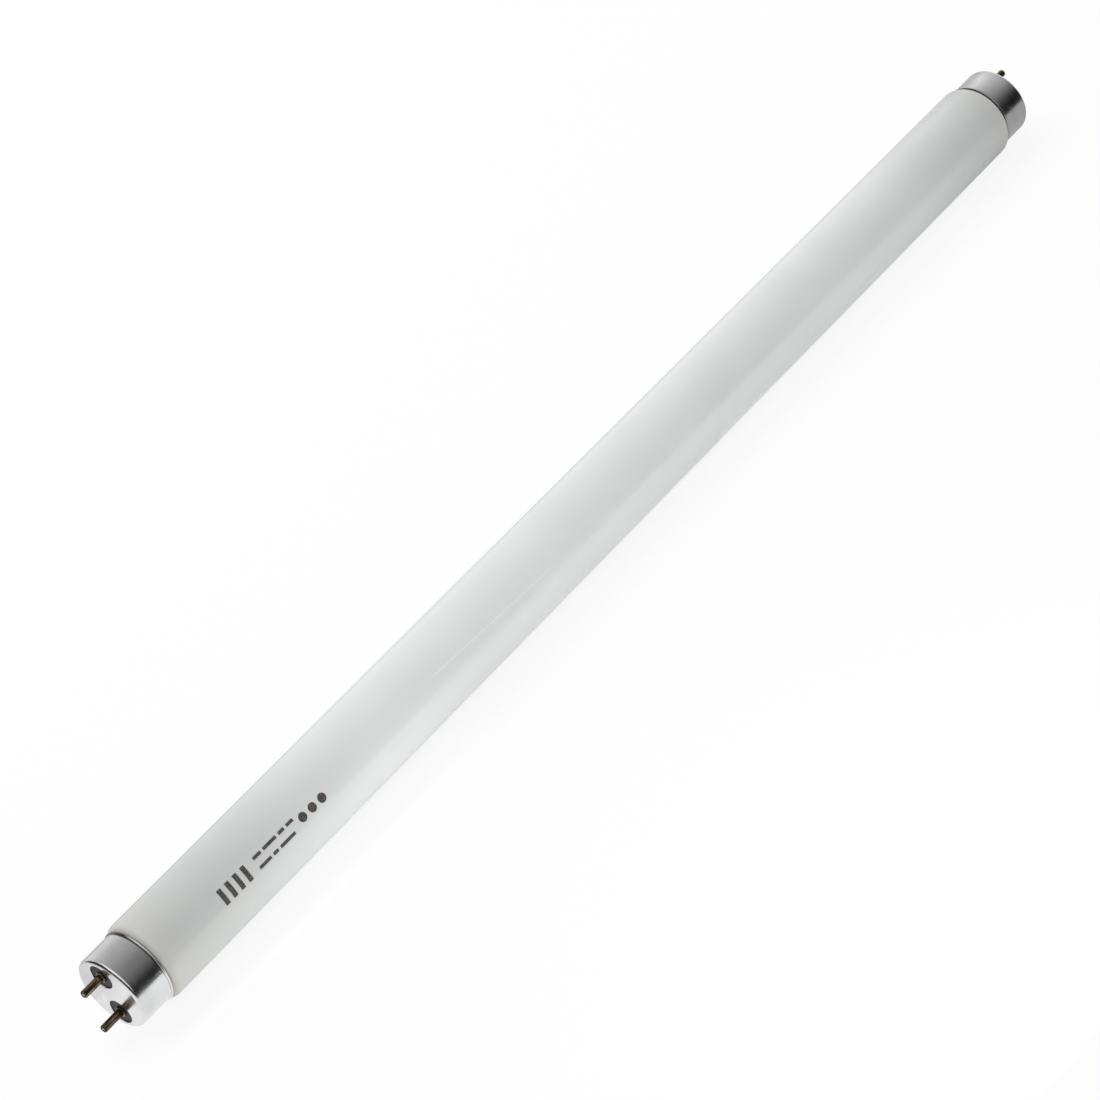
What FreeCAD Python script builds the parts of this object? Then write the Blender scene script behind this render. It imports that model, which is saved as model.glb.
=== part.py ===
import FreeCAD
import Part
import math
import os

# Fluorescent tube for 15 W: a T8 glass tube with a two-pin cap on each end.
# It lies along X on the plane z = 0, with its middle over the origin and each pair of pins upright.
# A depth is measured along X from a cap's face into the lamp, and a radius from the axis of a turned piece.

# Driving dimensions of the whole lamp, in millimetres
LAMP_LENGTH = 437.4          # from cap face to cap face
GLASS_DIAMETER = 26.0

# Cap shell
CAP_DIAMETER = 23.6          # across the skirt
CAP_LENGTH = 11.6            # from face to rim
CAP_SHEET = 0.35             # aluminium sheet
CAP_EDGE_ROUND = 1.0         # outer rounding between face and skirt
RIM_BEAD = 0.7               # width of the curled rim
FACE_MARGIN = 0.5            # flat metal between a face hole and the rounded edge
HOLE_LIP_ROUND = 0.15        # rounding of the outer edge of a face hole

# Insulator plate
PLATE_THICKNESS = 1.5
PLATE_BEVEL = 0.8            # keeps the plate clear of the rounding inside the shell
PLATE_CLEARANCE = 0.1        # between plate and skirt

# Contact pins
PIN_SPACING = 12.7
PIN_DIAMETER = 2.35
PIN_LENGTH = 7.1             # from cap face to tip
PIN_BORE = 1.4
PIN_CLEARANCE = 0.05         # between pin and plate
TIP_LAND = 0.05              # flat ring left between bore and rounded tip
COLLAR_DIAMETER = 3.4
COLLAR_THICKNESS = 0.6
COLLAR_ROUND = 0.25
RIVET_DIAMETER = 3.4         # inner end, spread against the plate
RIVET_THICKNESS = 0.45

# Solder that closes each pin's tip round its wire
SOLDER_LENGTH = 1.5
SOLDER_RECESS = 0.1          # from pin tip to the top of the dome
SOLDER_DOME = 0.3
SOLDER_COVER = 0.5           # solder over the wire's end

# Glass ends, hidden in the caps
CEMENT_GAP = 0.55            # between glass neck and skirt
CEMENT_LENGTH = 3.6
SHOULDER_LENGTH = 3.2        # from the neck out to the full diameter
SHOULDER_HOLLOW = 0.25       # part of the shoulder that curves inwards before it curves outwards
RIM_FILL = 0.5               # part of the cement gap that the shoulder fills at the rim
END_ROOM = 2.35              # between plate and glass
SEAL_WIDTH = 2.4             # thickness of the rounded glass end
FLARE_LENGTH = 9.5
STEM_LENGTH = 26.0           # from glass end to press
STEM_BORE = 9.6
EXHAUST_DIAMETER = 4.8
EXHAUST_CLEARANCE = 1.2      # between plate and exhaust tip

# Lead wires
WIRE_DIAMETER = 0.5
WIRE_BEND_LENGTH = 5.0
WIRE_LEAD_IN = 1.0           # straight run between pin and bend

# Places worked out from the dimensions
GLASS_RADIUS = GLASS_DIAMETER / 2
AXIS_HEIGHT = GLASS_RADIUS
CAP_RADIUS = CAP_DIAMETER / 2
SKIRT_INSIDE = CAP_RADIUS - CAP_SHEET
HOLE_RADIUS = CAP_RADIUS - CAP_EDGE_ROUND - FACE_MARGIN - PIN_SPACING / 2
PLATE_FRONT = CAP_SHEET
PLATE_BACK = PLATE_FRONT + PLATE_THICKNESS
PIN_RADIUS = PIN_DIAMETER / 2
PIN_INNER_END = PLATE_BACK + RIVET_THICKNESS
BORE_RADIUS = PIN_BORE / 2
TIP_ROUND = PIN_RADIUS - BORE_RADIUS - TIP_LAND
SOLDER_TOP = SOLDER_RECESS - PIN_LENGTH
WIRE_RADIUS = WIRE_DIAMETER / 2
WIRE_END = SOLDER_TOP + SOLDER_COVER
NECK_RADIUS = SKIRT_INSIDE - CEMENT_GAP
SEAL_ROUND = SEAL_WIDTH / 2
SEAL_DEPTH = PLATE_BACK + END_ROOM
NECK_DEPTH = SEAL_DEPTH + SEAL_ROUND
PRESS_DEPTH = SEAL_DEPTH + STEM_LENGTH
EXHAUST_RADIUS = EXHAUST_DIAMETER / 2
STEM_RADIUS = STEM_BORE / 2


def shoulder_depth():
    """Depth at which the neck ends, so that the shoulder has filled part of the cement gap at the rim."""
    rise = GLASS_RADIUS - NECK_RADIUS
    bends = (SHOULDER_LENGTH ** 2 + rise ** 2) / (2 * abs(rise))
    hollow_radius = SHOULDER_HOLLOW * bends
    filled = RIM_FILL * CEMENT_GAP
    return CAP_LENGTH - math.sqrt(filled * (2 * hollow_radius - filled))


SHOULDER_DEPTH = shoulder_depth()


class Outline:
    """Edges drawn one after another in a plane through the axis: depth along it, radius away from it."""

    def __init__(self, depth, radius):
        self.first = FreeCAD.Vector(depth, 0, radius)
        self.last = self.first
        self.edges = []

    def line(self, depth, radius):
        end = FreeCAD.Vector(depth, 0, radius)
        self.edges.append(Part.LineSegment(self.last, end).toShape())
        self.last = end

    def arc(self, via, depth, radius):
        end = FreeCAD.Vector(depth, 0, radius)
        middle = FreeCAD.Vector(via[0], 0, via[1])
        self.edges.append(Part.Arc(self.last, middle, end).toShape())
        self.last = end

    def curve_from_straight(self, depth, radius):
        """Arc that leaves along the axis."""
        self.arc(arc_middle((self.last.x, self.last.z), (depth, radius)), depth, radius)

    def curve_to_straight(self, depth, radius):
        """Arc that arrives along the axis."""
        self.arc(arc_middle((depth, radius), (self.last.x, self.last.z)), depth, radius)

    def turned(self):
        """Solid swept by the closed outline round the axis."""
        self.line(self.first.x, self.first.z)
        return revolve(self.edges)


def arc_middle(straight, far):
    """Middle of the arc that runs along the axis at one end and ends at the point far."""
    run = far[0] - straight[0]
    rise = far[1] - straight[1]
    half_turn = math.atan2(abs(rise), abs(run))
    radius = math.hypot(run, rise) / (2 * math.sin(half_turn))
    along = math.copysign(radius * math.sin(half_turn), run)
    away = math.copysign(radius * (1 - math.cos(half_turn)), rise)
    return straight[0] + along, straight[1] + away


def revolve(edges):
    face = Part.Face(Part.Wire(edges))
    return face.revolve(FreeCAD.Vector(0, 0, 0), FreeCAD.Vector(1, 0, 0), 360)


def glass_end():
    """Outline of one end of the glass, from exhaust tip to barrel."""
    tip = PLATE_BACK + EXHAUST_CLEARANCE
    flare_end = SEAL_DEPTH + FLARE_LENGTH
    mouth_radius = NECK_RADIUS - SEAL_WIDTH
    seal_middle = (SEAL_DEPTH, NECK_RADIUS - SEAL_ROUND)
    turn_depth = SHOULDER_DEPTH + SHOULDER_HOLLOW * SHOULDER_LENGTH
    turn_radius = NECK_RADIUS + SHOULDER_HOLLOW * (GLASS_RADIUS - NECK_RADIUS)
    outline = Outline(tip, 0)
    outline.curve_to_straight(tip + EXHAUST_RADIUS, EXHAUST_RADIUS)
    outline.line(PRESS_DEPTH, EXHAUST_RADIUS)
    outline.line(PRESS_DEPTH, STEM_RADIUS)
    outline.line(flare_end, STEM_RADIUS)
    outline.curve_from_straight(NECK_DEPTH, mouth_radius)
    outline.arc(seal_middle, NECK_DEPTH, NECK_RADIUS)
    outline.line(SHOULDER_DEPTH, NECK_RADIUS)
    outline.curve_from_straight(turn_depth, turn_radius)
    outline.curve_to_straight(SHOULDER_DEPTH + SHOULDER_LENGTH, GLASS_RADIUS)
    outline.line(LAMP_LENGTH / 2, GLASS_RADIUS)
    outline.line(LAMP_LENGTH / 2, 0)
    return outline


def glass_tube():
    """Sealed envelope with its stems, as one solid, mirrored about the lamp's middle."""
    half = glass_end().turned()
    other_half = half.mirror(FreeCAD.Vector(LAMP_LENGTH / 2, 0, 0), FreeCAD.Vector(1, 0, 0))
    return half.fuse(other_half).removeSplitter()


def cap_shell():
    """Drawn cup with a curled rim, and a hole in its face round each pin."""
    bead = RIM_BEAD / 2
    bead_depth = CAP_LENGTH - bead
    bead_radius = SKIRT_INSIDE + bead
    bead_foot = bead_depth - math.sqrt(bead ** 2 - (CAP_RADIUS - bead_radius) ** 2)
    slant = math.sin(math.pi / 4) * bead
    inner_round = CAP_EDGE_ROUND - CAP_SHEET
    outline = Outline(0, 0)
    outline.line(0, CAP_RADIUS - CAP_EDGE_ROUND)
    outline.curve_to_straight(CAP_EDGE_ROUND, CAP_RADIUS)
    outline.line(bead_foot, CAP_RADIUS)
    outline.arc((bead_depth + slant, bead_radius + slant), bead_depth, SKIRT_INSIDE)
    outline.line(CAP_EDGE_ROUND, SKIRT_INSIDE)
    outline.curve_from_straight(CAP_SHEET, SKIRT_INSIDE - inner_round)
    outline.line(CAP_SHEET, 0)
    shell = outline.turned()
    for side in (1, -1):
        shell = shell.cut(bore(HOLE_RADIUS, side, -CAP_SHEET, 2 * CAP_SHEET))
    return shell.makeFillet(HOLE_LIP_ROUND, [edge for edge in shell.Edges if is_hole_lip(edge)])


def bore(radius, side, start, end):
    """Cylinder on the axis of the upper (1) or lower (-1) pin, between two depths."""
    foot = FreeCAD.Vector(start, 0, side * PIN_SPACING / 2)
    return Part.makeCylinder(radius, end - start, foot, FreeCAD.Vector(1, 0, 0))


def is_hole_lip(edge):
    """Whether an edge is the outer edge of a face hole."""
    if not isinstance(edge.Curve, Part.Circle):
        return False
    return edge.BoundBox.XMax < CAP_SHEET / 2 and math.isclose(edge.Curve.Radius, HOLE_RADIUS)


def insulator_plate():
    """Moulded disc that lies against the inside of the face and carries the pins."""
    radius = SKIRT_INSIDE - PLATE_CLEARANCE
    outline = Outline(PLATE_FRONT, 0)
    outline.line(PLATE_FRONT, radius - PLATE_BEVEL)
    outline.line(PLATE_FRONT + PLATE_BEVEL, radius)
    outline.line(PLATE_BACK, radius)
    outline.line(PLATE_BACK, 0)
    plate = outline.turned()
    for side in (1, -1):
        plate = plate.cut(bore(PIN_RADIUS + PIN_CLEARANCE, side, 0, 2 * PLATE_BACK))
    return plate


def cement_ring():
    """Cement between the glass neck and the skirt, up to the shoulder."""
    start = SHOULDER_DEPTH - CEMENT_LENGTH
    outline = Outline(start, NECK_RADIUS)
    outline.line(start, SKIRT_INSIDE)
    outline.line(SHOULDER_DEPTH, SKIRT_INSIDE)
    outline.line(SHOULDER_DEPTH, NECK_RADIUS)
    return outline.turned()


def contact_pin():
    """Hollow pin with a rounded tip and a collar, riveted through the plate."""
    collar_top = PLATE_FRONT - COLLAR_THICKNESS
    collar_radius = COLLAR_DIAMETER / 2
    outline = Outline(-PIN_LENGTH, BORE_RADIUS)
    outline.line(-PIN_LENGTH, PIN_RADIUS - TIP_ROUND)
    outline.curve_to_straight(TIP_ROUND - PIN_LENGTH, PIN_RADIUS)
    outline.line(collar_top, PIN_RADIUS)
    outline.line(collar_top, collar_radius - COLLAR_ROUND)
    outline.curve_to_straight(collar_top + COLLAR_ROUND, collar_radius)
    outline.line(PLATE_FRONT, collar_radius)
    outline.line(PLATE_FRONT, PIN_RADIUS)
    outline.line(PLATE_BACK, PIN_RADIUS)
    outline.line(PLATE_BACK, RIVET_DIAMETER / 2)
    outline.line(PIN_INNER_END, RIVET_DIAMETER / 2)
    outline.line(PIN_INNER_END, BORE_RADIUS)
    return outline.turned().translated(FreeCAD.Vector(0, 0, PIN_SPACING / 2))


def tip_solder():
    """Domed plug in the bore at the pin's tip, with the wire's end in it."""
    inner_end = SOLDER_TOP + SOLDER_LENGTH
    ball = (SOLDER_DOME ** 2 + BORE_RADIUS ** 2) / (2 * SOLDER_DOME)
    half_turn = math.asin(BORE_RADIUS / ball) / 2
    dome_middle = (SOLDER_TOP + ball * (1 - math.cos(half_turn)), ball * math.sin(half_turn))
    outline = Outline(SOLDER_TOP, 0)
    outline.arc(dome_middle, SOLDER_TOP + SOLDER_DOME, BORE_RADIUS)
    outline.line(inner_end, BORE_RADIUS)
    outline.line(inner_end, WIRE_RADIUS)
    outline.line(WIRE_END, WIRE_RADIUS)
    outline.line(WIRE_END, 0)
    return outline.turned().translated(FreeCAD.Vector(0, 0, PIN_SPACING / 2))


def lead_wire():
    """Wire from the press out to the pin's axis, and along it into the solder."""
    press_offset = (EXHAUST_RADIUS + STEM_RADIUS) / 2
    bend_start = PIN_INNER_END + WIRE_LEAD_IN
    bend_end = bend_start + WIRE_BEND_LENGTH
    route = Outline(PRESS_DEPTH, press_offset)
    route.line(bend_end, press_offset)
    route.curve_from_straight((bend_start + bend_end) / 2, (press_offset + PIN_SPACING / 2) / 2)
    route.curve_to_straight(bend_start, PIN_SPACING / 2)
    route.line(WIRE_END, PIN_SPACING / 2)
    section = Part.Wire(Part.Circle(route.first, FreeCAD.Vector(1, 0, 0), WIRE_RADIUS).toShape())
    return Part.Wire(route.edges).makePipeShell([section], True, False)


def turned_over(shape):
    """Copy turned half round the lamp's axis, from the upper pin to the lower one."""
    return shape.rotated(FreeCAD.Vector(0, 0, 0), FreeCAD.Vector(1, 0, 0), 180)


def end_pieces():
    """Pieces of one end, with the cap's face at depth 0."""
    pin = contact_pin()
    solder = tip_solder()
    wire = lead_wire()
    return {
        "cap_shell": cap_shell(),
        "insulator_plate": insulator_plate(),
        "cement_ring": cement_ring(),
        "upper_pin": pin,
        "lower_pin": turned_over(pin),
        "upper_tip_solder": solder,
        "lower_tip_solder": turned_over(solder),
        "upper_lead_wire": wire,
        "lower_lead_wire": turned_over(wire),
    }


def lamp():
    """Every piece by name, in place."""
    to_left_face = FreeCAD.Vector(-LAMP_LENGTH / 2, 0, AXIS_HEIGHT)
    pieces = {"glass_tube": glass_tube().translated(to_left_face)}
    for name, shape in end_pieces().items():
        left = shape.translated(to_left_face)
        pieces["left_" + name] = left
        pieces["right_" + name] = left.rotated(FreeCAD.Vector(0, 0, 0), FreeCAD.Vector(0, 0, 1), 180)
    return pieces


def main():
    os.makedirs("parts", exist_ok=True)
    for name, shape in lamp().items():
        shape.exportStep(f"parts/{name}.step")


main()
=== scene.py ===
import math
import bmesh
import bpy
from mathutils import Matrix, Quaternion, Vector


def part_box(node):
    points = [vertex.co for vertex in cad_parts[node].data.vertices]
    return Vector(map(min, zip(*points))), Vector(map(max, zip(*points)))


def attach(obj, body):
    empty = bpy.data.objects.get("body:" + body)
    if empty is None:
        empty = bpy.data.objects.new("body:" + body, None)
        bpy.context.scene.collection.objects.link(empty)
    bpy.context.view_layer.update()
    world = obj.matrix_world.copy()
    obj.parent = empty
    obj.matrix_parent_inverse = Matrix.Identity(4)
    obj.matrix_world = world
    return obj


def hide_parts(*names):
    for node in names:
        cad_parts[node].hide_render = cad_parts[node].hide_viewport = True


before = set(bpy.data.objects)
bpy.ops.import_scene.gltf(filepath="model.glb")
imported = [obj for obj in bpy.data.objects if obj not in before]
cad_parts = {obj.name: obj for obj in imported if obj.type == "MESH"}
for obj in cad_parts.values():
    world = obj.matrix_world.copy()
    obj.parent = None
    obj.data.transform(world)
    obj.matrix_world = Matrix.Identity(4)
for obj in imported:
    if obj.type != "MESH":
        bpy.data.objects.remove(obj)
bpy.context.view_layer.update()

# Sizes read from the frame, in metres
MM = 0.001
GLASS_LOW, GLASS_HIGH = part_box("glass_tube")
_, SHELL_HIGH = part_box("left_cap_shell")
_, WIRE_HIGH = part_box("left_upper_lead_wire")
_, PLATE_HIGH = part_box("left_insulator_plate")
_, CEMENT_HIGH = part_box("left_cement_ring")
GLASS_RADIUS = (GLASS_HIGH.y - GLASS_LOW.y) / 2
AXIS_HEIGHT = (GLASS_HIGH.z + GLASS_LOW.z) / 2
RIM_REACH = -SHELL_HIGH.x

# Sizes of the caps that the finishes follow
PIN_SPACING = 12.7 * MM
HOLE_RADIUS = 3.95 * MM
BEAD_FOOT = 0.85 * MM

# Glass ends
SHOULDER_LENGTH = 3.2 * MM
SHOULDER_HOLLOW = 0.25
NECK_RADIUS = 10.9 * MM
SEAL_WIDTH = 2.4 * MM
END_ROOM = 2.35 * MM
FLARE_LENGTH = 9.5 * MM
STEM_RADIUS = 4.8 * MM
EXHAUST_RADIUS = 2.4 * MM

# Mesh steps
TURNED_SEGMENTS = 192
ARC_STEPS = 14
BARREL_RINGS = 48
ON_AXIS = 0.001 * MM
SHARP_ANGLE = math.radians(40)

# Print on the glass: u runs along the tube, v round it and upwards, both from the middle of the print
PRINT_X = -160.5 * MM
PRINT_ANGLE = math.radians(157)
PRINT_LIFT = 0.012 * MM
BEND_STEP = 0.25 * MM
BAR_COUNT = 4
BAR_START = -21.5 * MM
BAR_PITCH = 3.2 * MM
BAR_WIDTH = 1.6 * MM
BAR_HEIGHT = 5.0 * MM
DASH_START = -7.0 * MM
DASH_GAP = 1.0 * MM
DASH_HEIGHT = 1.0 * MM
UPPER_ROW = 1.1 * MM
LOWER_ROW = -2.1 * MM
UPPER_DASHES = (3.2 * MM, 5.4 * MM, 2.4 * MM, 2.8 * MM)
LOWER_DASHES = (4.8 * MM, 2.0 * MM, 6.2 * MM)
DOT_PLACES = (12.6 * MM, 16.7 * MM, 20.8 * MM)
DOT_RADIUS = 1.45 * MM
DOT_STEPS = 40
DOT_RINGS = 5

# Sockets of a colour Mix node
MIX_FACTOR = 0
MIX_FIRST = 6
MIX_SECOND = 7
MIX_RESULT = 2

# Camera, for a square frame of FRAME_PIXELS
FRAME_PIXELS = 1100
FOCAL_PIXELS = 3638.2
SENSOR_WIDTH = 36.0
CAMERA_AIM = Vector((-23.95 * MM, 0.5 * MM, AXIS_HEIGHT))
CAMERA_AZIMUTH = math.radians(-36.83)
CAMERA_ELEVATION = math.radians(30.82)
CAMERA_ROLL = math.radians(-24.27)
CAMERA_DISTANCE = 1071.2 * MM

# Floor and world
FLOOR_SIZE = 8.0
FLOOR_COLOUR = (0.93, 0.93, 0.93, 1.0)
FLOOR_GLOW = 0.88
WORLD_COLOUR = (0.98, 0.99, 1.0, 1.0)
WORLD_STRENGTH = 0.6
WHITE = (1.0, 1.0, 1.0, 1.0)

# Lamps: name, place, aim, width, height, power
LAMPS = (
    ("overhead", (-0.06, 0.74, 1.2), (0.0, 0.0, 0.0), 1.3, 1.3, 11.0),
    ("front_fill", (-0.1, -0.26, 0.035), (-0.1, 0.0, 0.013), 0.1, 0.1, 0.125),
    ("low_fill", (-0.165, -0.025, 0.002), (-0.165, -0.012, 0.009), 0.16, 0.003, 0.002),
)

# Cards that only mirrors see
CARD_LIFT = 0.0004
CANOPY_RADIUS = 1.6
CANOPY_STEP = 5
CANOPY_FRONT = -0.08
CANOPY_LEFT = -2.5
SIDE_END = -0.2
LAMP_START = 0.0
BACK_SIDE_END = -0.225
BACK_LAMP_START = -0.215
LAMP_END = 1.4
FAR_CAP_START = 1.5
CANOPY_RIGHT = 3.5
FLAG_X = -0.6
FLAG_LEVEL = 0.03
STRIP_END = -0.05
STRIP_LEVEL = 0.01
STRIPS = (("left_strip", -0.6, -0.182), ("right_strip", 0.238, 0.8))
SHEET_FRONT = -0.09
SHEET_BACK = -0.004

# Canopy: brightness by turn in degrees, from the floor in front, over the top, to the floor behind
SIDE_STOPS = ((0, 0.01), (5, 0.35), (12, 0.9), (28, 1.1), (40, 1.2), (110, 1.2), (125, 0.56),
              (150, 0.72), (180, 0.8))
LAMP_STOPS = ((0, 0.01), (11, 0.03), (36, 0.15), (61, 0.22), (82, 0.33), (103, 0.43), (128, 0.54),
              (150, 0.72), (165, 0.8), (180, 0.8))
FAR_CAP_STOPS = ((0, 0.0), (11, 0.01), (23, 0.04), (34, 0.12), (45, 0.20), (57, 0.36), (68, 0.43),
                 (92, 0.58), (119, 0.80), (131, 0.97), (138, 0.94), (150, 0.74), (165, 0.57), (180, 0.55))

# Dark flag beside the near cap: height by y
FLAG_TOPS = ((-2.5, 0.43), (0.0, 0.43), (0.3, 1.1), (3.5, 1.1))

# Floor behind the lamp: y, brightness of the left side, brightness of the rest
BACK_ROWS = ((0.12, 0.72, 0.58), (0.02, 0.86, 0.55))

# Sheet on the floor in front of the lamp: brightness by x; its grey towards the far cap is painted shadow on
# the floor, for the caps to mirror
SHEET_ROWS = ((0.05, 1.0), (0.15, 0.75), (0.22, 0.42), (0.6, 0.36))


# Shapes

def arc_points(straight, far):
    """Points of the arc that runs along the axis at its first point and ends at the point far."""
    run = far[0] - straight[0]
    rise = far[1] - straight[1]
    half_turn = math.atan2(abs(rise), abs(run))
    radius = math.hypot(run, rise) / (2 * math.sin(half_turn))
    points = []
    for step in range(ARC_STEPS + 1):
        turn = 2 * half_turn * step / ARC_STEPS
        along = math.copysign(radius * math.sin(turn), run)
        away = math.copysign(radius * (1 - math.cos(turn)), rise)
        points.append((straight[0] + along, straight[1] + away))
    return points


def glass_end_points():
    """Outline of the left end of the glass, from exhaust tip to barrel, as (x, radius)."""
    tip = GLASS_LOW.x
    press = WIRE_HIGH.x
    seal = PLATE_HIGH.x + END_ROOM
    neck = seal + SEAL_WIDTH / 2
    shoulder = CEMENT_HIGH.x
    shoulder_end = shoulder + SHOULDER_LENGTH
    turn = (shoulder + SHOULDER_HOLLOW * SHOULDER_LENGTH,
            NECK_RADIUS + SHOULDER_HOLLOW * (GLASS_RADIUS - NECK_RADIUS))
    points = arc_points((tip + EXHAUST_RADIUS, EXHAUST_RADIUS), (tip, 0))[::-1]
    points += [(press, EXHAUST_RADIUS), (press, STEM_RADIUS)]
    points += arc_points((seal + FLARE_LENGTH, STEM_RADIUS), (neck, NECK_RADIUS - SEAL_WIDTH))
    for step in range(1, ARC_STEPS):
        angle = math.pi * step / ARC_STEPS
        radius = NECK_RADIUS - SEAL_WIDTH / 2 * (1 + math.cos(angle))
        points.append((neck - SEAL_WIDTH / 2 * math.sin(angle), radius))
    points.append((neck, NECK_RADIUS))
    points += arc_points((shoulder, NECK_RADIUS), turn)
    points += arc_points((shoulder_end, GLASS_RADIUS), turn)[-2::-1]
    return points


def turned_mesh(name, outline):
    """Object of the outline, a list of (x, radius), turned round the lamp's axis."""
    mesh = bmesh.new()
    rings = []
    for x, radius in outline:
        if radius < ON_AXIS:
            rings.append([mesh.verts.new((x, 0, AXIS_HEIGHT))])
            continue
        ring = []
        for segment in range(TURNED_SEGMENTS):
            angle = 2 * math.pi * segment / TURNED_SEGMENTS
            ring.append(mesh.verts.new((x, radius * math.cos(angle), AXIS_HEIGHT + radius * math.sin(angle))))
        rings.append(ring)
    for low, high in zip(rings, rings[1:]):
        for segment in range(TURNED_SEGMENTS):
            following = (segment + 1) % TURNED_SEGMENTS
            corners = [low[segment % len(low)], low[following % len(low)],
                       high[following % len(high)], high[segment % len(high)]]
            mesh.faces.new(list(dict.fromkeys(corners)))
    bmesh.ops.recalc_face_normals(mesh, faces=mesh.faces)
    return finished_mesh(name, mesh)


def finished_mesh(name, mesh):
    """Object of a bmesh, smooth but for its sharp edges."""
    data = bpy.data.meshes.new(name)
    mesh.to_mesh(data)
    mesh.free()
    data.shade_smooth()
    data.set_sharp_from_angle(angle=SHARP_ANGLE)
    piece = bpy.data.objects.new(name, data)
    bpy.context.scene.collection.objects.link(piece)
    return piece


def glass_envelope():
    left = glass_end_points()
    right = [(-x, radius) for x, radius in reversed(left)]
    start = left[-1][0]
    step = (right[0][0] - start) / BARREL_RINGS
    barrel = [(start + step * ring, GLASS_RADIUS) for ring in range(1, BARREL_RINGS)]
    return turned_mesh("glass_envelope", left + barrel + right)


def on_glass(u, v):
    """Point just above the glass at u along the tube and v round it from the middle of the print."""
    angle = PRINT_ANGLE - v / GLASS_RADIUS
    radius = GLASS_RADIUS + PRINT_LIFT
    return Vector((PRINT_X + u, radius * math.cos(angle), AXIS_HEIGHT + radius * math.sin(angle)))


def add_bar(mesh, u, v, width, height):
    """Bar whose lower left corner is at u, v, bent to the glass."""
    steps = max(2, math.ceil(height / BEND_STEP))
    edges = []
    for step in range(steps + 1):
        row = v + height * step / steps
        edges.append((mesh.verts.new(on_glass(u, row)), mesh.verts.new(on_glass(u + width, row))))
    for low, high in zip(edges, edges[1:]):
        mesh.faces.new((low[0], low[1], high[1], high[0]))


def add_dot(mesh, u, v):
    """Dot round u, v, bent to the glass."""
    centre = mesh.verts.new(on_glass(u, v))
    inner = [centre] * DOT_STEPS
    for ring in range(1, DOT_RINGS + 1):
        reach = DOT_RADIUS * ring / DOT_RINGS
        outer = []
        for step in range(DOT_STEPS):
            angle = 2 * math.pi * step / DOT_STEPS
            outer.append(mesh.verts.new(on_glass(u + reach * math.cos(angle), v + reach * math.sin(angle))))
        for step in range(DOT_STEPS):
            after = (step + 1) % DOT_STEPS
            corners = (inner[step], outer[step], outer[after], inner[after])
            mesh.faces.new(list(dict.fromkeys(corners)))
        inner = outer


def print_marks():
    """Plain bars, dashes and dots printed on the glass."""
    mesh = bmesh.new()
    for bar in range(BAR_COUNT):
        add_bar(mesh, BAR_START + BAR_PITCH * bar, -BAR_HEIGHT / 2, BAR_WIDTH, BAR_HEIGHT)
    for row, dashes in ((UPPER_ROW, UPPER_DASHES), (LOWER_ROW, LOWER_DASHES)):
        u = DASH_START
        for dash in dashes:
            add_bar(mesh, u, row, dash, DASH_HEIGHT)
            u += dash + DASH_GAP
    for u in DOT_PLACES:
        add_dot(mesh, u, 0.0)
    bmesh.ops.recalc_face_normals(mesh, faces=mesh.faces)
    return finished_mesh("print_marks", mesh)


# Materials

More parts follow.
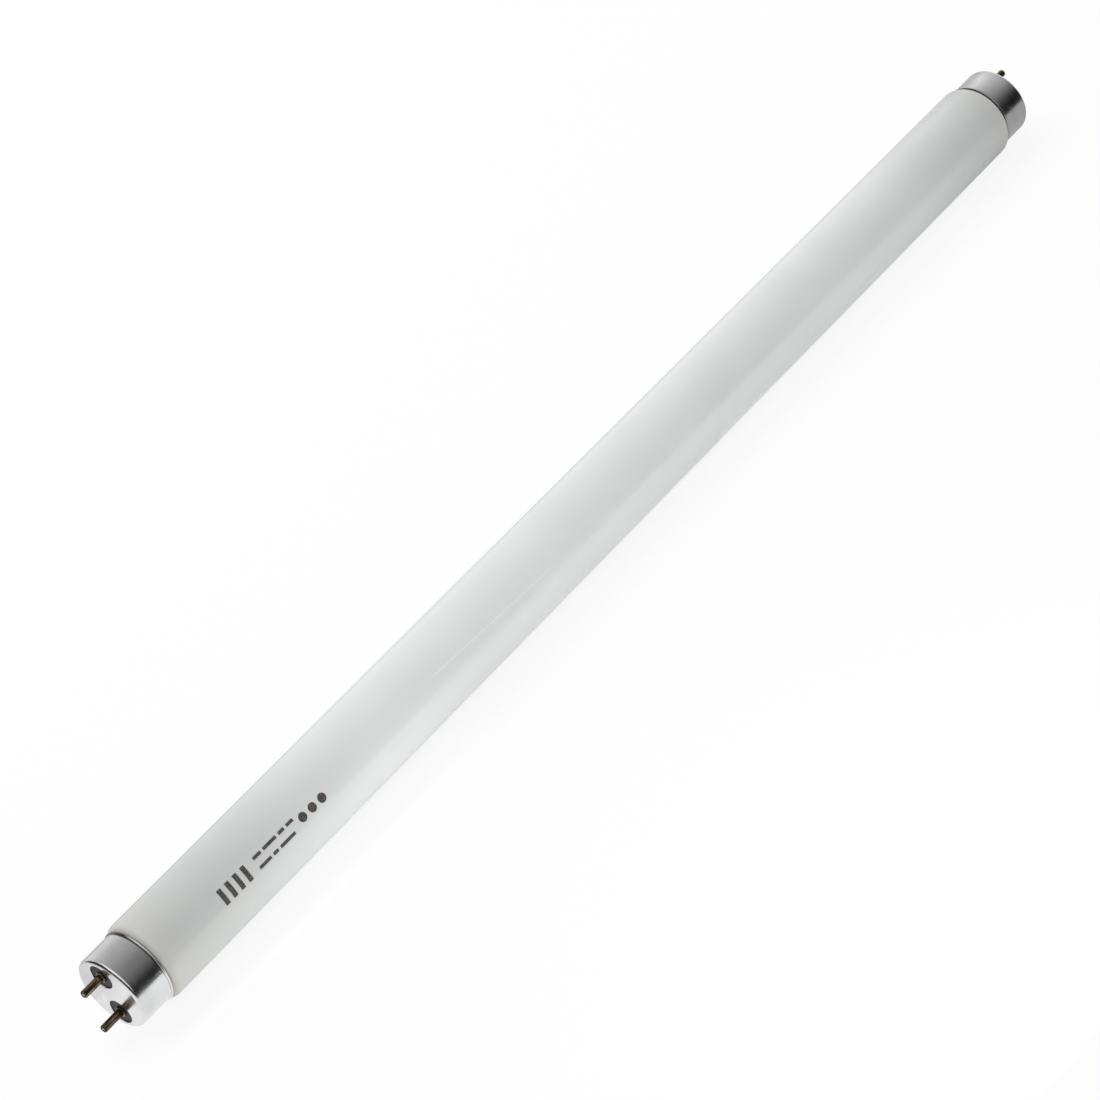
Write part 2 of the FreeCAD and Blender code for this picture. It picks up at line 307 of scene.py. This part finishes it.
class Finish:
    """A node material with one Principled shader."""

    def __init__(self, name, roughness, metallic=0.0):
        self.material = bpy.data.materials.new(name)
        self.material.use_nodes = True
        self.nodes = self.material.node_tree.nodes
        self.links = self.material.node_tree.links
        self.inputs = self.nodes["Principled BSDF"].inputs
        self.inputs["Roughness"].default_value = roughness
        self.inputs["Metallic"].default_value = metallic
        self.place = self.nodes.new("ShaderNodeTexCoord").outputs["Object"]

    def link(self, output, node_input):
        self.links.new(output, node_input)

    def feed(self, value, node_input):
        if isinstance(value, bpy.types.NodeSocket):
            self.link(value, node_input)
        else:
            node_input.default_value = value

    def calculate(self, operation, *values):
        node = self.nodes.new("ShaderNodeMath")
        node.operation = operation
        for value, node_input in zip(values, node.inputs):
            self.feed(value, node_input)
        return node.outputs[0]

    def apart(self):
        """Distance along the tube, distance across it from its axis, and height over its axis."""
        split = self.nodes.new("ShaderNodeSeparateXYZ")
        self.link(self.place, split.inputs[0])
        height = self.calculate("SUBTRACT", split.outputs["Z"], AXIS_HEIGHT)
        return split.outputs["X"], split.outputs["Y"], height

    def length(self, first, second):
        """Length of the long side of a right triangle."""
        squares = self.calculate("MULTIPLY_ADD", second, second, self.calculate("MULTIPLY", first, first))
        return self.calculate("SQRT", squares)

    def turned_place(self):
        """Distance along the tube, distance from its axis and angle round it from +Y."""
        along, across, height = self.apart()
        return along, self.length(across, height), self.calculate("ARCTAN2", height, across)

    def from_pin(self):
        """Distance from the axis of the nearer pin."""
        _, across, height = self.apart()
        off_pin = self.calculate("SUBTRACT", self.calculate("ABSOLUTE", height), PIN_SPACING / 2)
        return self.length(across, off_pin)

    def noise(self, scale, detail=3.0, stretch=(1.0, 1.0, 1.0)):
        mapping = self.nodes.new("ShaderNodeMapping")
        mapping.inputs["Scale"].default_value = stretch
        self.link(self.place, mapping.inputs["Vector"])
        node = self.nodes.new("ShaderNodeTexNoise")
        node.inputs["Scale"].default_value = scale
        node.inputs["Detail"].default_value = detail
        self.link(mapping.outputs["Vector"], node.inputs["Vector"])
        return node.outputs["Fac"]

    def line_noise(self, value, scale, detail=4.0):
        """Noise that varies with one value alone, for drawn and turned marks."""
        node = self.nodes.new("ShaderNodeTexNoise")
        node.noise_dimensions = "1D"
        node.inputs["Scale"].default_value = scale
        node.inputs["Detail"].default_value = detail
        self.link(value, node.inputs["W"])
        return node.outputs["Fac"]

    def ramp(self, value, low, high, to_low=0.0, to_high=1.0):
        """Value moved smoothly from one range to another."""
        node = self.nodes.new("ShaderNodeMapRange")
        node.interpolation_type = "SMOOTHSTEP"
        self.link(value, node.inputs["Value"])
        for name, number in (("From Min", low), ("From Max", high), ("To Min", to_low), ("To Max", to_high)):
            node.inputs[name].default_value = number
        return node.outputs["Result"]

    def mix(self, factor, first, second, blend="MIX"):
        node = self.nodes.new("ShaderNodeMix")
        node.data_type = "RGBA"
        node.blend_type = blend
        self.feed(factor, node.inputs[MIX_FACTOR])
        for colour, node_input in ((first, node.inputs[MIX_FIRST]), (second, node.inputs[MIX_SECOND])):
            self.feed(colour if isinstance(colour, bpy.types.NodeSocket) else (*colour, 1.0), node_input)
        return node.outputs[MIX_RESULT]

    def paint(self, colour):
        self.link(colour, self.inputs["Base Color"])

    def bump(self, height, distance, normal="Normal"):
        """Raise the surface by a height, through one of the shader's normal sockets."""
        node = self.nodes.new("ShaderNodeBump")
        node.inputs["Distance"].default_value = distance
        self.link(height, node.inputs["Height"])
        self.link(node.outputs["Normal"], self.inputs[normal])


def coated_glass():
    """Clear glass over a white inner coat that is greyer towards the caps, with one faint drawn line."""
    white = (0.80, 0.815, 0.806)
    end_grey = (0.60, 0.61, 0.595)
    collar_grey = (0.62, 0.61, 0.585)
    cloud_shade = (0.965, 0.965, 0.965)
    line_white = (0.90, 0.91, 0.90)
    left_fade = (-205 * MM, -105 * MM)
    right_fade = (130 * MM, 220 * MM)
    right_share = 0.88
    collar_width = 12 * MM
    cloud_scale = 70
    wave_scale = 22
    wave_depth = 0.03 * MM
    line_middle = -63 * MM
    line_fade = (22 * MM, 34 * MM)
    line_angle = math.radians(166.2)
    line_slant = math.radians(12) / (62 * MM)
    line_width = (math.radians(0.3), math.radians(1.0))
    line_share = 0.75
    finish = Finish("coated_glass", roughness=0.55)
    finish.inputs["Specular IOR Level"].default_value = 0.0
    finish.inputs["Coat Weight"].default_value = 1.0
    finish.inputs["Coat Roughness"].default_value = 0.05
    finish.inputs["Coat IOR"].default_value = 1.5
    along, _, angle = finish.turned_place()
    left_end = finish.ramp(along, *left_fade, 1.0, 0.0)
    right_end = finish.ramp(along, *right_fade, 0.0, right_share)
    colour = finish.mix(finish.calculate("ADD", left_end, right_end), white, end_grey)
    from_middle = finish.calculate("ABSOLUTE", along)
    collar = finish.ramp(from_middle, RIM_REACH - collar_width, RIM_REACH)
    colour = finish.mix(collar, colour, collar_grey)
    cloud = finish.ramp(finish.noise(cloud_scale, stretch=(0.5, 1, 1)), 0.3, 0.7)
    colour = finish.mix(cloud, colour, finish.mix(1.0, colour, cloud_shade, "MULTIPLY"))
    line_place = finish.calculate("MULTIPLY_ADD", along, line_slant, line_angle)
    off_line = finish.calculate("ABSOLUTE", finish.calculate("SUBTRACT", angle, line_place))
    drawn = finish.ramp(off_line, *line_width, line_share, 0.0)
    from_line_middle = finish.calculate("ABSOLUTE", finish.calculate("SUBTRACT", along, line_middle))
    in_reach = finish.ramp(from_line_middle, *line_fade, 1.0, 0.0)
    finish.paint(finish.mix(finish.calculate("MULTIPLY", drawn, in_reach), colour, line_white))
    finish.bump(finish.noise(wave_scale, detail=2), wave_depth, "Coat Normal")
    return finish.material


def drawn_aluminium():
    """Aluminium with fine marks round the axis from drawing, and painted shade on the upper side of the rim.

    The painted shade lies at the foot of the bead, over the back of the left bead and along the right rim's
    edge, standing for the shade in the bead's hollows and the gap at the rim.
    """
    bright = (0.77, 0.775, 0.78)
    smeared = (0.70, 0.70, 0.705)
    # Colour of the painted shade along the rim
    shade_brown = (0.06, 0.055, 0.05)
    mark_scale = 9000
    mark_depth = 0.004 * MM
    smear_scale = 160
    middle = (-1 * MM, 1 * MM)
    foot_width = (0.05 * MM, 0.24 * MM)
    bead_width = (0.5 * MM, 0.85 * MM)
    edge_width = (0.10 * MM, 0.38 * MM)
    finish = Finish("drawn_aluminium", roughness=0.25, metallic=1.0)
    along, radius, angle = finish.turned_place()
    marks = finish.line_noise(finish.calculate("ADD", along, radius), mark_scale)
    smears = finish.noise(smear_scale, stretch=(1, 0.6, 0.6))
    colour = finish.mix(finish.ramp(smears, 0.35, 0.7), bright, smeared)
    # Painted shade: dark lines at the bead's foot, over the back of the left bead and at the right rim's
    # edge, stronger on the upper side
    from_rim = finish.calculate("SUBTRACT", finish.calculate("ABSOLUTE", along), RIM_REACH)
    from_foot = finish.calculate("ABSOLUTE", finish.calculate("SUBTRACT", from_rim, BEAD_FOOT))
    foot_shade = finish.ramp(from_foot, *foot_width, 0.9, 0.0)
    back = finish.ramp(finish.calculate("COSINE", angle), -0.31, -0.12)
    left_back = finish.calculate("MULTIPLY", back, finish.ramp(along, *middle, 1.0, 0.0))
    bead_shade = finish.calculate("MULTIPLY", finish.ramp(from_rim, *bead_width, 0.93, 0.0), left_back)
    right_cap = finish.ramp(along, *middle)
    edge_shade = finish.calculate("MULTIPLY", finish.ramp(from_rim, *edge_width, 0.9, 0.0), right_cap)
    rim_shade = finish.calculate("MAXIMUM", bead_shade, edge_shade)
    upper_side = finish.ramp(finish.calculate("SINE", angle), -0.1, 0.35, 0.15, 1.0)
    painted_shade = finish.calculate("MULTIPLY", finish.calculate("MAXIMUM", foot_shade, rim_shade), upper_side)
    finish.paint(finish.mix(painted_shade, colour, shade_brown))
    finish.link(finish.ramp(smears, 0.3, 0.75, 0.17, 0.27), finish.inputs["Roughness"])
    finish.bump(marks, mark_depth)
    return finish.material


def dulled_brass():
    """Brass pins, brown where they have dulled, brighter along the drawn streaks, and darker and rougher
    towards the lower pin.
    """
    brown = (0.095, 0.066, 0.043)
    bright = (0.30, 0.23, 0.152)
    dulled = (0.059, 0.042, 0.030)
    streak_scale = 1500
    streak_depth = 0.006 * MM
    dull_scale = 420
    lower_share = 0.16
    finish = Finish("dulled_brass", roughness=0.3, metallic=1.0)
    streaks = finish.noise(streak_scale, stretch=(0.08, 1, 1))
    _, _, height = finish.apart()
    lower = finish.ramp(height, -PIN_SPACING / 2, PIN_SPACING / 2, lower_share, 0.0)
    dull = finish.calculate("ADD", finish.noise(dull_scale), lower)
    colour = finish.mix(finish.ramp(streaks, 0.38, 0.62), brown, bright)
    finish.paint(finish.mix(finish.ramp(dull, 0.45, 0.7), colour, dulled))
    finish.link(finish.ramp(dull, 0.35, 0.7, 0.15, 0.30), finish.inputs["Roughness"])
    finish.bump(streaks, streak_depth)
    return finish.material


def dark_phenolic():
    """Moulded dark insulator with a faint fleck of filler, and painted shade that makes it darkest where the
    face's holes end.
    """
    dark = (0.02, 0.019, 0.018)
    filler = (0.11, 0.105, 0.10)
    # Colour of the painted shade at the holes' edge
    shade_black = (0.003, 0.003, 0.003)
    fleck_scale = 1800
    fleck_depth = 0.02 * MM
    edge_start = HOLE_RADIUS - 0.7 * MM
    edge_full = HOLE_RADIUS - 0.1 * MM
    finish = Finish("dark_phenolic", roughness=0.45)
    finish.inputs["Specular IOR Level"].default_value = 0.25
    fleck = finish.noise(fleck_scale, detail=5)
    colour = finish.mix(finish.ramp(fleck, 0.5, 0.72), dark, filler)
    # Painted shade: darker towards the edge of the face's hole, where the recess falls in shade
    edge = finish.ramp(finish.from_pin(), edge_start, edge_full, 0.0, 0.9)
    finish.paint(finish.mix(edge, colour, shade_black))
    finish.link(finish.ramp(fleck, 0.3, 0.7, 0.36, 0.55), finish.inputs["Roughness"])
    finish.bump(fleck, fleck_depth)
    return finish.material


def soft_solder():
    dull = (0.62, 0.62, 0.61)
    bright = (0.86, 0.86, 0.85)
    grain_scale = 2600
    grain_depth = 0.01 * MM
    finish = Finish("soft_solder", roughness=0.25, metallic=1.0)
    grain = finish.noise(grain_scale, detail=2)
    finish.paint(finish.mix(grain, dull, bright))
    finish.bump(grain, grain_depth)
    return finish.material


def set_cement():
    dark = (0.40, 0.34, 0.25)
    pale = (0.66, 0.59, 0.47)
    grain_scale = 1400
    grain_depth = 0.05 * MM
    finish = Finish("set_cement", roughness=0.85)
    grain = finish.noise(grain_scale, detail=5)
    finish.paint(finish.mix(grain, dark, pale))
    finish.bump(grain, grain_depth)
    return finish.material


def drawn_wire():
    dull = (0.45, 0.40, 0.36)
    bright = (0.70, 0.66, 0.60)
    streak_scale = 2200
    streak_depth = 0.004 * MM
    finish = Finish("drawn_wire", roughness=0.3, metallic=1.0)
    streaks = finish.noise(streak_scale, stretch=(0.1, 1, 1))
    finish.paint(finish.mix(streaks, dull, bright))
    finish.bump(streaks, streak_depth)
    return finish.material


def printing_ink():
    """Brown-black ink, thin in places."""
    full = (0.068, 0.056, 0.050)
    thin = (0.26, 0.235, 0.215)
    wear_scale = 2400
    finish = Finish("printing_ink", roughness=0.4)
    wear = finish.noise(wear_scale, detail=4)
    finish.paint(finish.mix(finish.ramp(wear, 0.52, 0.72), full, thin))
    return finish.material


# Stage, light and camera

def sees_background(nodes, links):
    """1 for a ray from the camera, a mirror or through glass, else 0."""
    path = nodes.new("ShaderNodeLightPath")
    total = path.outputs["Is Camera Ray"]
    for name in ("Is Glossy Ray", "Is Transmission Ray"):
        largest = nodes.new("ShaderNodeMath")
        largest.operation = "MAXIMUM"
        links.new(total, largest.inputs[0])
        links.new(path.outputs[name], largest.inputs[1])
        total = largest.outputs[0]
    return total


def choose_shader(nodes, links, factor, first, second, output):
    """Send a mix of two shaders to an output node's surface."""
    choose = nodes.new("ShaderNodeMixShader")
    links.new(factor, choose.inputs[0])
    links.new(first.outputs[0], choose.inputs[1])
    links.new(second.outputs[0], choose.inputs[2])
    links.new(choose.outputs[0], nodes[output].inputs["Surface"])


def white_world():
    """Soft light from all round that the camera and mirrors see as white."""
    world = bpy.data.worlds.new("white_world")
    bpy.context.scene.world = world
    world.use_nodes = True
    nodes, links = world.node_tree.nodes, world.node_tree.links
    ambient = nodes["Background"]
    ambient.inputs["Color"].default_value = WORLD_COLOUR
    ambient.inputs["Strength"].default_value = WORLD_STRENGTH
    white = nodes.new("ShaderNodeBackground")
    white.inputs["Color"].default_value = WHITE
    choose_shader(nodes, links, sees_background(nodes, links), ambient, white, "World Output")


def bare_material(name):
    """A node material with no shader yet."""
    material = bpy.data.materials.new(name)
    material.use_nodes = True
    material.node_tree.nodes.remove(material.node_tree.nodes["Principled BSDF"])
    return material


def floor():
    """Pale floor that the camera and mirrors see as nearly white, with the lamp's shadow."""
    bpy.ops.mesh.primitive_plane_add(size=FLOOR_SIZE)
    plane = bpy.context.object
    plane.name = "floor"
    material = bare_material("floor_white")
    nodes, links = material.node_tree.nodes, material.node_tree.links
    matt = nodes.new("ShaderNodeBsdfDiffuse")
    matt.inputs["Color"].default_value = FLOOR_COLOUR
    white = nodes.new("ShaderNodeEmission")
    share = nodes.new("ShaderNodeMath")
    share.operation = "MULTIPLY"
    share.inputs[1].default_value = FLOOR_GLOW
    links.new(sees_background(nodes, links), share.inputs[0])
    choose_shader(nodes, links, share.outputs[0], matt, white, "Material Output")
    plane.data.materials.append(material)


def mirror_card(name, rows):
    """Sheet that only mirrors see, through rows of (point, brightness)."""
    mesh = bmesh.new()
    shade = mesh.verts.layers.float_color.new("brightness")
    lines = []
    for row in rows:
        line = []
        for point, level in row:
            vertex = mesh.verts.new(point)
            vertex[shade] = (level, level, level, 1.0)
            line.append(vertex)
        lines.append(line)
    for low, high in zip(lines, lines[1:]):
        for place in range(len(low) - 1):
            mesh.faces.new((low[place], low[place + 1], high[place + 1], high[place]))
    card = finished_mesh(name, mesh)
    material = bare_material(name)
    nodes, links = material.node_tree.nodes, material.node_tree.links
    brightness = nodes.new("ShaderNodeAttribute")
    brightness.attribute_name = "brightness"
    glow = nodes.new("ShaderNodeEmission")
    links.new(brightness.outputs["Color"], glow.inputs["Color"])
    links.new(glow.outputs[0], nodes["Material Output"].inputs["Surface"])
    card.data.materials.append(material)
    card.visible_camera = False
    card.visible_diffuse = False
    card.visible_transmission = False
    card.visible_volume_scatter = False
    card.visible_shadow = False


def level_at(turn, stops):
    """Brightness at a turn in degrees, between the stops on either side of it."""
    for (low, first), (high, last) in zip(stops, stops[1:]):
        if turn <= high:
            return first + (last - first) * (turn - low) / (high - low)


def canopy_row(y, z, side, lamp, far_cap, side_end=SIDE_END, lamp_start=LAMP_START):
    """Points across the canopy at y, z, with a brightness for its left side, the lamp and the far cap."""
    places = ((CANOPY_LEFT, side), (side_end, side), (lamp_start, lamp), (LAMP_END, lamp),
              (FAR_CAP_START, far_cap), (CANOPY_RIGHT, far_cap))
    return [((x, y, z), level) for x, level in places]


def canopy():
    """Sheet from the floor in front of the lamp over its top to the floor behind it."""
    zones = (SIDE_STOPS, LAMP_STOPS, FAR_CAP_STOPS)
    rows = [canopy_row(CANOPY_FRONT, CARD_LIFT, *(level_at(0, stops) for stops in zones))]
    for turn in range(0, 180 + CANOPY_STEP, CANOPY_STEP):
        y = -CANOPY_RADIUS * math.cos(math.radians(turn))
        z = max(CARD_LIFT, CANOPY_RADIUS * math.sin(math.radians(turn)))
        rows.append(canopy_row(y, z, *(level_at(turn, stops) for stops in zones)))
    for y, side, rest in BACK_ROWS:
        rows.append(canopy_row(y, CARD_LIFT, side, rest, rest, BACK_SIDE_END, BACK_LAMP_START))
    mirror_card("canopy", rows)


def small_cards():
    """A dark flag beside the near cap, dark strips in front of both caps and a bright to grey floor sheet,
    whose grey is painted floor shadow near the far cap.
    """
    flag = [[((FLAG_X, y, z), FLAG_LEVEL) for z in (CARD_LIFT, top)] for y, top in FLAG_TOPS]
    mirror_card("left_flag", flag)
    for name, first, last in STRIPS:
        strip = [[((x, y, CARD_LIFT), STRIP_LEVEL) for y in (CANOPY_FRONT, STRIP_END)] for x in (first, last)]
        mirror_card(name, strip)
    # Painted shadow: the sheet greys the floor that the far cap mirrors
    sheet = [[((x, y, CARD_LIFT / 2), level) for y in (SHEET_FRONT, SHEET_BACK)] for x, level in SHEET_ROWS]
    mirror_card("shadow_sheet", sheet)


def soft_lamp(name, place, aim, width, height, power):
    data = bpy.data.lights.new(name, "AREA")
    data.shape = "ELLIPSE"
    data.size = width
    data.size_y = height
    data.energy = power
    lamp = bpy.data.objects.new(name, data)
    lamp.location = place
    lamp.rotation_mode = "QUATERNION"
    lamp.rotation_quaternion = (Vector(aim) - Vector(place)).to_track_quat("-Z", "Y")
    lamp.visible_camera = False
    lamp.visible_glossy = False
    bpy.context.scene.collection.objects.link(lamp)


def camera():
    data = bpy.data.cameras.new("camera")
    data.sensor_width = SENSOR_WIDTH
    data.lens = SENSOR_WIDTH * FOCAL_PIXELS / FRAME_PIXELS
    viewer = bpy.data.objects.new("camera", data)
    back = Vector((math.sin(CAMERA_AZIMUTH) * math.cos(CAMERA_ELEVATION),
                   -math.cos(CAMERA_AZIMUTH) * math.cos(CAMERA_ELEVATION),
                   math.sin(CAMERA_ELEVATION)))
    viewer.location = CAMERA_AIM + back * CAMERA_DISTANCE
    viewer.rotation_mode = "QUATERNION"
    level = (-back).to_track_quat("-Z", "Y")
    viewer.rotation_quaternion = level @ Quaternion((0, 0, 1), CAMERA_ROLL)
    bpy.context.scene.collection.objects.link(viewer)
    bpy.context.scene.camera = viewer


# Assembly

def dress(piece, material):
    piece.data.materials.clear()
    piece.data.materials.append(material)


def dressed_lamp():
    """The glass and its print, and a finish for every solid that is carried over."""
    glass = glass_envelope()
    dress(glass, coated_glass())
    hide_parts("glass_tube")
    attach(glass, "root")
    marks = print_marks()
    dress(marks, printing_ink())
    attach(marks, "root")
    finishes = {
        "cap_shell": drawn_aluminium(),
        "insulator_plate": dark_phenolic(),
        "pin": dulled_brass(),
        "tip_solder": soft_solder(),
        "lead_wire": drawn_wire(),
        "cement_ring": set_cement(),
    }
    for name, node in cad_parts.items():
        for ending, material in finishes.items():
            if name.endswith(ending):
                dress(node, material)


def main():
    dressed_lamp()
    white_world()
    floor()
    canopy()
    small_cards()
    for lamp in LAMPS:
        soft_lamp(*lamp)
    camera()
    bpy.context.scene.view_settings.view_transform = "Standard"


main()
